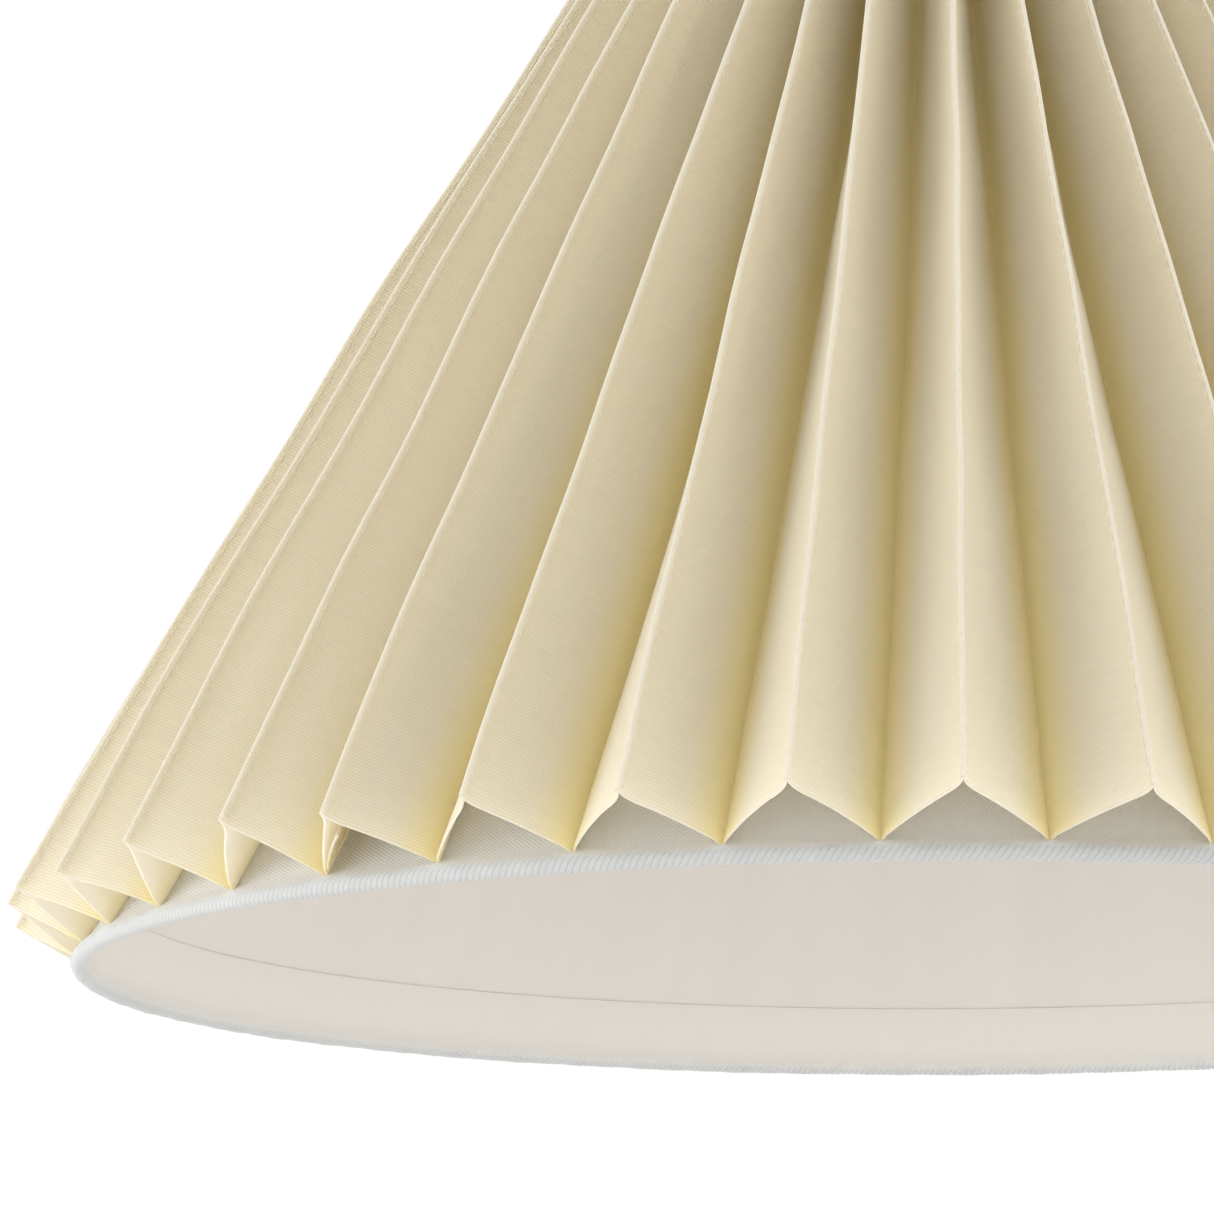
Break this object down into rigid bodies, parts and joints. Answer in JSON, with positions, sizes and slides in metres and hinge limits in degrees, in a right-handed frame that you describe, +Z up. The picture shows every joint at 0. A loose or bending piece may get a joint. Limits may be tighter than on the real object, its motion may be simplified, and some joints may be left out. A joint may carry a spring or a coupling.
{
  "type": "pleated lamp shade",
  "caption": "Cone lamp shade of cream cloth in sharp pleats over a white hardback lining, with a wire frame and a small lampholder ring.",
  "frame": {"origin": "centre of the mouth, on the plane the rolled rim rests on", "axes": "+Z up along the shade's axis from the mouth to the top opening, -Y towards the front"},
  "size_m": [0.2974, 0.2972, 0.1714],
  "materials": {
    "cover_cloth": "ribbed weave, satin",
    "seam_thread": "matte",
    "lining_cloth": "plain weave, matte",
    "lining_film": "translucent",
    "frame_wire": "gloss white"
  },
  "bodies": {
    "root": {"pleated_cover": "cover_cloth", "crest_stitching": "seam_thread", "liner_fabric": "lining_cloth", "liner_film": "lining_film", "bottom_ring": "frame_wire", "top_ring": "frame_wire", "arm_1": "frame_wire", "arm_2": "frame_wire", "arm_3": "frame_wire", "fitter_ring": "frame_wire"}
  },
  "joints": []
}
